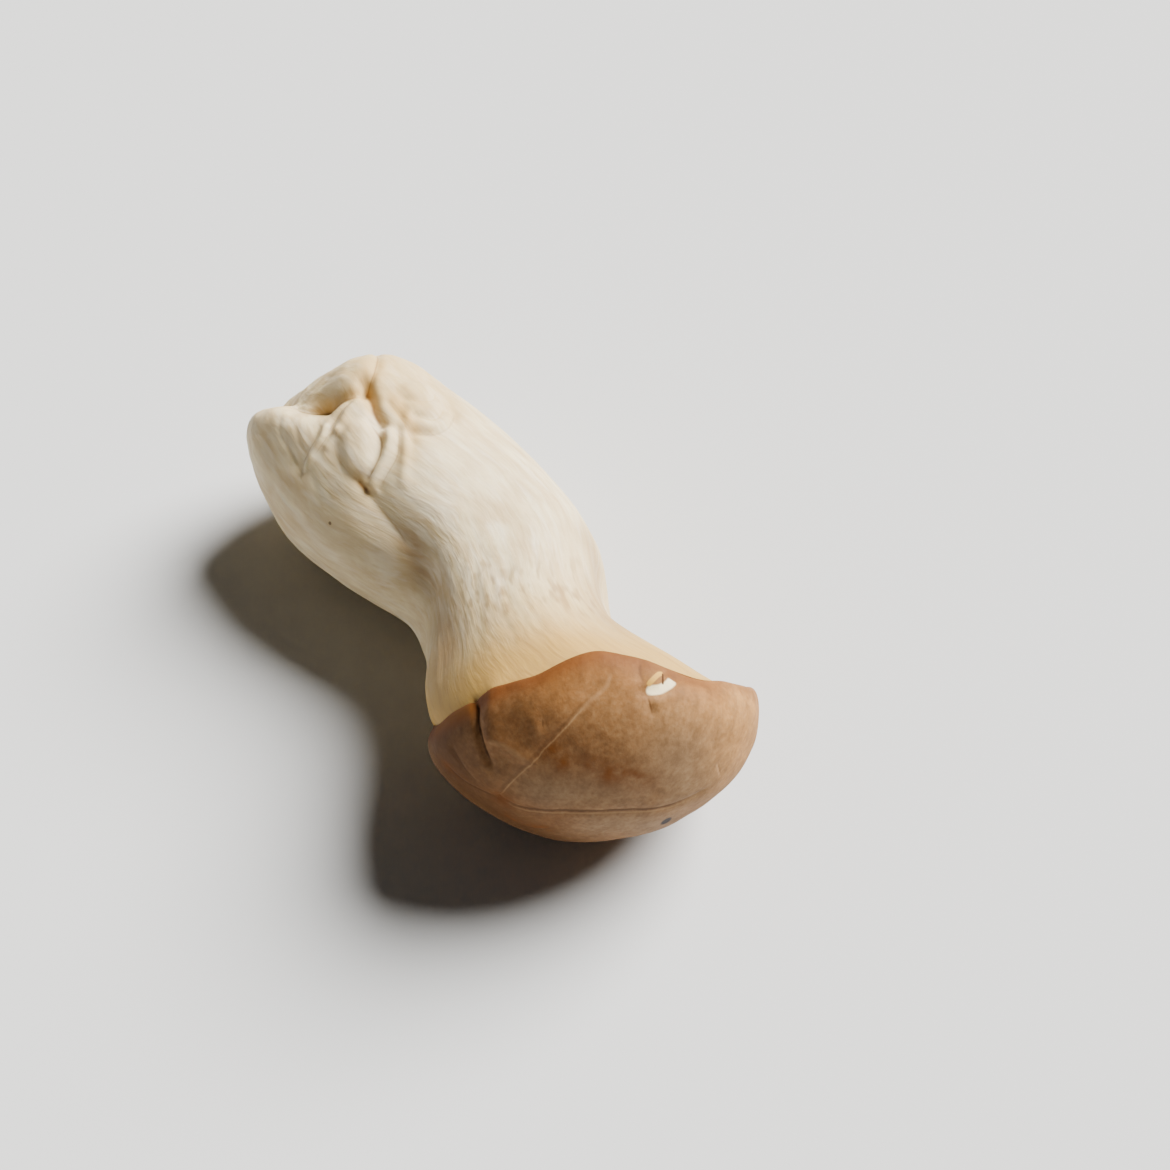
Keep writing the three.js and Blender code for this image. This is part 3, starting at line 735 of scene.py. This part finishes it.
def mark(mesh, ring, angle, points):
    """Stores for the materials where the drawn lines and the patches and bands of colour lie."""
    outward = outward_of(mesh)
    wobble = noise_of("wobble of the lines", points)
    for name, (_, _, _, drawn, line) in FOLDS.items():
        if drawn:
            field = line_field(points, outward, fold_line(line))
            field[:, 0] += wobble
            write(mesh, name, field)
    for name, lines in PATCHES.items():
        write(mesh, name, patch(points, lines))
    write(mesh, "straw", smoothstep(ring + STRAW_LEAN * np.cos(angle), *STRAW))
    write(mesh, "margin", smoothstep(ring, *MARGIN))
    write(mesh, "pleated", smoothstep(ring, *PLEATED))
    thick = 0.5 + 0.5 * np.cos(angle - np.radians(THICK_SIDE))
    start, end = RIM_BAND
    band = 1 - smoothstep(ring, start, end + RIM_BAND_WIDER * thick)
    write(mesh, "rim", (THIN_SHARE + (1 - THIN_SHARE) * thick) * band)


def sculpt(body, shape):
    """Raises every fold, gill, fibre and lump on the smooth body, and rests it on the ground."""
    mesh = body.data
    ring, degrees = places_on(mesh)
    angle = np.radians(degrees)
    points = points_of(mesh)
    grain = grain_of(ring, degrees)
    mark(mesh, ring, angle, points)
    gills, between_gills = gill_relief(ring, angle, shape)
    write(mesh, "between the gills", between_gills)
    write(mesh, "grain", grain)
    relief = (fold_relief(points, shape.fold_strength) + gills
              + fine_relief(ring, angle, points, grain, shape))
    move_to(mesh, rested(points + relief[:, None] * outward_of(mesh)))


def put(tree, kind, inputs=None, **settings):
    """Adds a node with its settings. Each input named takes a value or a link, which comes from a
    socket or from the first output of a node."""
    node = tree.nodes.new(kind)
    for name, value in settings.items():
        setattr(node, name, value)
    for name, value in (inputs or {}).items():
        if isinstance(value, bpy.types.Node):
            value = value.outputs[0]
        if isinstance(value, bpy.types.NodeSocket):
            tree.links.new(value, node.inputs[name])
        else:
            node.inputs[name].default_value = value
    return node


def new_material(name):
    material = bpy.data.materials.new(name)
    material.use_nodes = True
    material.node_tree.nodes.clear()
    return material, material.node_tree


def pattern(tree, lies_on, size, detail, seed, shows):
    """Noise with features of this size in millimetres along each axis, as a mask from 0 to 1."""
    scale = [1 / length for length in size]
    offset = [seed * step for step in PATTERN_STEP]
    scaled = put(tree, "ShaderNodeVectorMath", {0: lies_on, 1: scale, 2: offset},
                 operation="MULTIPLY_ADD")
    texture = put(tree, "ShaderNodeTexNoise",
                  {"Vector": scaled, "Scale": 1.0, "Detail": detail, "Roughness": 0.55})
    low, high = shows
    return put(tree, "ShaderNodeMapRange", {"Value": texture, "From Min": low, "From Max": high})


def drawn_line(tree, name, half, beside):
    """A crisp line along a fold as a mask from 0 to 1; beside moves it to one side, in mm."""
    kept = put(tree, "ShaderNodeAttribute", attribute_name=name)
    parts = put(tree, "ShaderNodeSeparateXYZ", {0: kept.outputs["Vector"]})
    moved = put(tree, "ShaderNodeMath", {0: parts.outputs[0], 1: beside}, operation="SUBTRACT")
    away = put(tree, "ShaderNodeMath", {0: moved}, operation="ABSOLUTE")
    across = put(tree, "ShaderNodeMapRange",
                 {"Value": away, "From Min": half, "From Max": 0.0},
                 interpolation_type="SMOOTHSTEP")
    return put(tree, "ShaderNodeMath", {0: across, 1: parts.outputs[1]}, operation="MULTIPLY")


def spot_mask(tree, place, centre, radius, squeeze):
    """A spot with a soft edge as a mask from 0 to 1; squeeze below 1 makes it longer that way."""
    off = put(tree, "ShaderNodeVectorMath", {0: place, 1: centre}, operation="SUBTRACT")
    squeezed = put(tree, "ShaderNodeVectorMath", {0: off, 1: squeeze}, operation="MULTIPLY")
    away = put(tree, "ShaderNodeVectorMath", {0: squeezed}, operation="LENGTH")
    return put(tree, "ShaderNodeMapRange",
               {"Value": away.outputs["Value"], "From Min": radius, "From Max": SPOT_CORE * radius},
               interpolation_type="SMOOTHSTEP")


def masks_of(tree, patches, patterns, lines, spot):
    """Every mask of a material by its name: patches of the body, patterns, drawn lines, a spot."""
    grain = put(tree, "ShaderNodeAttribute", attribute_name="grain").outputs["Vector"]
    masks = {name: put(tree, "ShaderNodeAttribute", attribute_name=name).outputs["Fac"]
             for name in patches}
    seen = put(tree, "ShaderNodeTexCoord")
    place = put(tree, "ShaderNodeVectorMath", {0: seen.outputs["Object"], "Scale": 1 / MM},
                operation="SCALE")
    # The fibres wander to both sides of the straight line, over some 25 mm of their length.
    wave = put(tree, "ShaderNodeTexNoise", {"Vector": grain, "Scale": 0.04, "Detail": 2.0})
    wandering = put(tree, "ShaderNodeVectorMath",
                    {0: wave.outputs["Color"], 1: (WANDER, WANDER, 0), 2: grain},
                    operation="MULTIPLY_ADD")
    grounds = {"grain": wandering, "place": place}
    for name, (ground, size, detail, seed, shows, within) in patterns.items():
        mask = pattern(tree, grounds[ground], size, detail, seed, shows)
        if within:
            mask = put(tree, "ShaderNodeMath", {0: mask, 1: masks[within]}, operation="MULTIPLY")
        masks[name] = mask
    for name, (fold, half, beside) in lines.items():
        masks[name] = drawn_line(tree, fold, half, beside)
    masks["spot"] = spot_mask(tree, place, *spot)
    return masks


def laid_over(tree, colour, masks, layers, finish):
    """Lays each colour over those before it, as far as its mask and its strength let it."""
    for colour_name, strengths in layers:
        over = (*getattr(finish, colour_name), 1)
        for name, strength in strengths.items():
            share = put(tree, "ShaderNodeMath", {0: masks[name], 1: strength}, operation="MULTIPLY",
                        use_clamp=True)
            mixed = put(tree, "ShaderNodeMix", {0: share, 6: colour, 7: over}, data_type="RGBA")
            colour = mixed.outputs[2]
    return colour


def surface(tree, colour, masks, relief, bump, **feel):
    """The finished surface: its colour, its fine relief, and how it takes the light."""
    height = 0.0
    for name, weight in relief:
        height = put(tree, "ShaderNodeMath", {0: masks[name], 1: weight, 2: height},
                     operation="MULTIPLY_ADD")
    raised = put(tree, "ShaderNodeBump", {"Height": height, "Strength": bump, "Distance": 0.2 * MM})
    shader = put(tree, "ShaderNodeBsdfPrincipled", {"Base Color": colour, "Normal": raised, **feel})
    put(tree, "ShaderNodeOutputMaterial", {"Surface": shader})


# What the patterns lie on, the size of their features along each axis in millimetres, the detail
# and the seed of the noise, the part of it that shows, and the patch it keeps within, if any.
# Real fibres are a few tenths of a millimetre apart and are drawn coarser, so that they show.
FLESH_PATTERNS = {
    "fibres": ("grain", (1.1, 1.1, 8), 2, 3.1, (0.42, 0.68), None),
    "strands": ("grain", (3.4, 3.4, 17), 2, 7.7, (0.42, 0.68), None),
    "silk": ("grain", (2.2, 2.2, 12), 3, 21.3, (0.5, 0.7), None),
    "clouds": ("place", (9, 9, 9), 2, 1.9, (0.42, 0.7), None),
    "mottling": ("grain", (3.6, 3.6, 6.5), 3, 40.2, (0.45, 0.65), None),
    "long silk": ("grain", (2.6, 2.6, 14), 2, 52.6, (0.45, 0.62), "silky"),
    "flecks": ("grain", (1.7, 1.7, 3.6), 1, 12.4, (0.5, 0.68), "flecked"),
    "pleats": ("grain", (1.0, 1.0, 24), 1, 15.2, (0.45, 0.65), "pleated"),
}
SKIN_PATTERNS = {
    "clouds": ("place", (9, 9, 9), 2, 2.3, (0.38, 0.66), None),
    "mottling": ("place", (3, 3, 3), 4, 5.9, (0.38, 0.66), None),
    "speckle": ("place", (0.9, 0.9, 0.9), 2, 9.1, (0.4, 0.7), None),
    "bloom": ("place", (1.0, 1.0, 1.0), 4, 31.7, (0.4, 0.76), None),
    "fibrils": ("grain", (0.8, 0.8, 9), 2, 4.3, (0.4, 0.66), None),
    "stains": ("place", (3, 3, 3), 4, 5.9, (0.38, 0.66), "stained"),
}

# Layers of colour, the first at the bottom: the colour, and how strong it is on each of its masks.
FLESH_LAYERS = (
    ("flesh_streak", {"fibres": 0.3, "strands": 0.52, "clouds": 0.3, "mottling": 0.3}),
    # Pale silky streaks: partly the fibres' own colour, partly painted sheen.
    ("flesh_silk", {"silk": 0.5}),
    ("flesh_warm", {"cream": 0.42, "straw": 1.0}),
    # Brown flesh: along the neck's hollow partly its own colour and partly painted shade; along the neck's
    # right edge painted shade.
    ("flesh_brown", {"brown": 0.6, "painted shade at the neck's edge": 0.5}),
    # Partly painted light: pale streaks on the lit side of the groove.
    ("flesh_silk", {"long silk": 0.45}),
    ("flesh_gold", {"gold": 0.45}),
    ("flesh_brown", {"flecks": 0.55, "pleats": 0.22}),
    ("gill", {"between the gills": 0.5}),
    ("skin_edge", {"margin": 0.45}),
    ("crease", {"valley floor": 0.6, "pit": 0.75, "seam over the top": 0.5}),
    # Partly painted shadow: a brown line under the flap's raised edge.
    ("flesh_brown", {"flap edge": 0.26}),
    ("flesh_gold", {
        "fold across the flap": 0.26, "second fold across it": 0.24, "wrinkle by the pit": 0.4}),
    ("crease", {
        "crease right of it": 0.55, "crease left of it": 0.15, "crease by the bridge": 0.3,
        "crease by the strand": 0.3, "crease before it": 0.25, "crease between them": 0.25,
        "small pit": 0.8, "start of the groove": 0.25}),
    ("skin_dark", {"spot": 0.7}),
)
SKIN_LAYERS = (
    # Partly painted light: the paler right side of the cap.
    ("skin_pale", {"fawn": 0.9, "clouds": 0.15}),
    ("skin_bloom", {"bloom": 0.32}),
    ("skin_grey", {"grey": 0.6}),
    ("skin_orange", {"orange": 0.7}),
    # Partly painted shade: the darker left and lower sides of the cap.
    ("skin_dark", {"dark": 0.75}),
    # Partly painted shade: darker orange-brown near the notch and round the crown.
    ("skin_edge", {"dusk tint and painted shade": 0.3}),
    ("skin_dark", {"mottling": 0.34, "speckle": 0.22, "fibrils": 0.12}),
    ("stain", {"stains": 0.85}),
    ("skin_edge", {"rim": 0.8}),
    ("skin_orange", {"lip": 0.6}),
    # Dark lines at the bottoms of the cap's creases, notch and ticks: partly the skin's own colour, partly
    # painted shade.
    ("skin_dark", {
        "notch in the rim": 0.95, "dimple": 0.6, "tick under the tear": 0.7,
        "fold beside the tear": 0.45, "crease under the crown": 0.75, "lower left crease": 0.7,
        "second left crease": 0.45, "short crease": 0.5, "crease on the right": 0.35,
        "fold on the hidden side": 0.8}),
    ("skin_worn", {
        "lip of the crown's crease": 0.28, "scratch": 0.32, "faint end of the scratch": 0.22,
        "lip of the crease on the right": 0.4}),
    ("skin_dark", {"shadow of the scratch": 0.3}),
    ("skin_worn", {"pale fold by the notch": 0.3}),
    ("flesh", {"tear": 1.0}),
    ("flesh_gold", {"flap of the tear": 1.0}),
    # Painted shade in the slit of the tear.
    ("skin_dark", {"slit of the tear": 1.0}),
    ("spot", {"spot": 0.95}),
)


def lines_in(layers):
    """The lines among these layers that lie along folds: the fold, half the line's width and how
    far it lies to one side, in millimetres."""
    names = [name for _, strengths in layers for name in strengths if name in FOLDS]
    return {name: (name, FOLDS[name][3], 0.0) for name in names}


FLESH_LINES = lines_in(FLESH_LAYERS)
SKIN_LINES = lines_in(SKIN_LAYERS) | {
    "lip of the crown's crease": ("crease under the crown", 0.35, 0.75),
    "lip of the crease on the right": ("crease on the right", 0.4, 0.5),
    "shadow of the scratch": ("scratch", 0.7, 0.7),
}
# Where the skin is torn: from where to where across the drawn line the flesh comes through.
TORN = ("tear", "flap of the tear", "slit of the tear")
TORN_EDGE = (0.12, 0.45)


def flesh_material(finish, speck):
    """Flesh of a fresh king oyster, as grown: firm, dry to the touch and faintly silky, with light
    going a few millimetres into it, and long fine fibres that catch the light."""
    material, tree = new_material("fresh mushroom flesh")
    patches = ("straw", "cream", "silky", "brown", "painted shade at the neck's edge", "gold", "flecked", "pleated",
               "between the gills", "margin")
    masks = masks_of(tree, patches, FLESH_PATTERNS, FLESH_LINES, (speck, *SPECK_SHAPE))
    colour = laid_over(tree, (*finish.flesh, 1), masks, FLESH_LAYERS, finish)
    surface(tree, colour, masks, (("fibres", 0.5), ("strands", 0.5), ("mottling", 0.4)), 0.4, **{
        "Roughness": 0.58, "IOR": 1.4, "Specular IOR Level": 0.35, "Subsurface Weight": 0.3,
        "Subsurface Radius": (1.0, 0.8, 0.5), "Subsurface Scale": 1.8 * MM})
    return material


def skin_material(finish, dark_spot):
    """Skin of the cap, as grown and a little dried: leathery brown, mottled and finely fibrous,
    with a soft sheen; the flesh under it keeps it from looking hard."""
    material, tree = new_material("dry mushroom cap skin")
    patches = ("fawn", "grey", "dark", "dusk tint and painted shade", "orange", "stained", "rim", "lip")
    masks = masks_of(tree, patches, SKIN_PATTERNS, SKIN_LINES, (dark_spot, *SPOT_SHAPE))
    for name in TORN:
        masks[name] = put(tree, "ShaderNodeMapRange", {
            "Value": masks[name], "From Min": TORN_EDGE[0], "From Max": TORN_EDGE[1]})
    colour = laid_over(tree, (*finish.skin, 1), masks, SKIN_LAYERS, finish)
    relief = (("mottling", 0.5), ("speckle", 0.25), ("fibrils", 0.2))
    surface(tree, colour, masks, relief, 0.25, **{
        "Roughness": 0.64, "IOR": 1.42, "Specular IOR Level": 0.18, "Subsurface Weight": 0.05,
        "Subsurface Radius": (1.0, 0.7, 0.5), "Subsurface Scale": 1.0 * MM})
    return material


def nearest_corner(mesh, ring, degrees):
    """The corner of the finished body nearest to a place, in millimetres."""
    rings, turned = places_on(mesh)
    off_round = np.mod(turned - degrees + 180, 360) - 180
    off = np.hypot(rings - ring, off_round / DEGREES_PER_RING)
    return tuple(points_of(mesh)[off.argmin()])


def dress(body, finish):
    """Gives the flesh and the skin their materials, with the skin's edge on one line of corners."""
    mesh = body.data
    ring, _ = places_on(mesh)
    mesh.materials.append(flesh_material(finish, nearest_corner(mesh, *SPECK)))
    mesh.materials.append(skin_material(finish, nearest_corner(mesh, *SPOT)))
    corners = read(mesh.loops, "vertex_index", kind=int)
    starts = read(mesh.polygons, "loop_start", kind=int)
    middle = np.add.reduceat(ring[corners], starts) / np.diff(np.append(starts, len(corners)))
    mesh.polygons.foreach_set("material_index", (middle > MARGIN_RING).astype(np.int32))
    mesh.update()


class MUSHROOM_OT_grow(bpy.types.Operator):
    """Grow the mushroom round its CAD solid: cage, smoothing, folds, gills, skin"""

    bl_idname = "mushroom.grow"
    bl_label = "Grow the mushroom"

    def execute(self, context):
        scene = context.scene
        body = lay_cage()
        smooth_cage(body)
        cut_gill_zone(body)
        sculpt(body, scene.mushroom_shape)
        dress(body, scene.mushroom_finish)
        bpy.ops.object.shade_smooth()
        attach(body, BODY)
        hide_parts(NODE)
        return {"FINISHED"}


def add_camera(studio):
    sight_side = math.cos(studio.elevation)
    back = Vector((math.sin(studio.azimuth) * sight_side, -math.cos(studio.azimuth) * sight_side,
                   math.sin(studio.elevation)))
    bpy.ops.object.camera_add(location=Vector(studio.target) + back * studio.distance)
    camera = bpy.context.object
    camera.name = "camera"
    camera.rotation_euler = (-back).to_track_quat("-Z", "Y").to_euler()
    camera.data.lens = studio.lens
    camera.data.clip_start = NEAREST
    bpy.context.scene.camera = camera


def add_sun(name, place, angle, strength):
    """A broad even light from the way of this place, so that the whole floor is lit alike."""
    bpy.ops.object.light_add(type="SUN", location=place)
    light = bpy.context.object
    light.name = name
    light.rotation_euler = (-Vector(place)).to_track_quat("-Z", "Y").to_euler()
    light.data.angle = angle
    light.data.energy = strength


def add_floor(colour):
    bpy.ops.mesh.primitive_plane_add(size=FLOOR_SIZE)
    floor = bpy.context.object
    floor.name = "floor"
    material, tree = new_material("matt paper floor")
    shader = put(tree, "ShaderNodeBsdfPrincipled", {"Base Color": (*colour, 1), "Roughness": 0.9})
    put(tree, "ShaderNodeOutputMaterial", {"Surface": shader})
    floor.data.materials.append(material)


def fill_air(scene, strength):
    """Air that the camera sees as white, while the light it gives from all round is weaker."""
    world = scene.world or bpy.data.worlds.new("studio air")
    scene.world = world
    world.use_nodes = True
    tree = world.node_tree
    tree.nodes.clear()
    white = (1, 1, 1, 1)
    seen = put(tree, "ShaderNodeBackground", {"Color": white, "Strength": AIR_SEEN})
    given = put(tree, "ShaderNodeBackground", {"Color": white, "Strength": strength})
    path = put(tree, "ShaderNodeLightPath")
    mixed = put(tree, "ShaderNodeMixShader",
                {0: path.outputs["Is Camera Ray"], 1: given, 2: seen})
    put(tree, "ShaderNodeOutputWorld", {"Surface": mixed})


class MUSHROOM_OT_studio(bpy.types.Operator):
    """Set the pale floor, the soft light and the camera"""

    bl_idname = "mushroom.studio"
    bl_label = "Set the studio"

    def execute(self, context):
        studio = context.scene.mushroom_studio
        deselect_all()
        add_camera(studio)
        add_floor(studio.floor)
        add_sun("key light", KEY_FROM, studio.softness, studio.key)
        fill_air(context.scene, studio.air)
        return {"FINISHED"}


class MUSHROOM_PT_panel(bpy.types.Panel):
    bl_label = "King oyster mushroom"
    bl_idname = "MUSHROOM_PT_panel"
    bl_space_type = "VIEW_3D"
    bl_region_type = "UI"
    bl_category = "Mushroom"

    def draw(self, context):
        scene = context.scene
        for operator, settings in ((MUSHROOM_OT_grow, (scene.mushroom_shape, scene.mushroom_finish)),
                                   (MUSHROOM_OT_studio, (scene.mushroom_studio,))):
            box = self.layout.box()
            box.operator(operator.bl_idname)
            for group in settings:
                for name in group.__annotations__:
                    box.prop(group, name)


CLASSES = (ShapeSettings, FinishSettings, StudioSettings, MUSHROOM_OT_grow, MUSHROOM_OT_studio,
           MUSHROOM_PT_panel)


def register():
    for item in CLASSES:
        bpy.utils.register_class(item)
    bpy.types.Scene.mushroom_shape = bpy.props.PointerProperty(type=ShapeSettings)
    bpy.types.Scene.mushroom_finish = bpy.props.PointerProperty(type=FinishSettings)
    bpy.types.Scene.mushroom_studio = bpy.props.PointerProperty(type=StudioSettings)


def unregister():
    del bpy.types.Scene.mushroom_studio
    del bpy.types.Scene.mushroom_finish
    del bpy.types.Scene.mushroom_shape
    for item in reversed(CLASSES):
        bpy.utils.unregister_class(item)


def main():
    register()
    bpy.ops.mushroom.grow()
    bpy.ops.mushroom.studio()


if __name__ == "__main__":
    main()
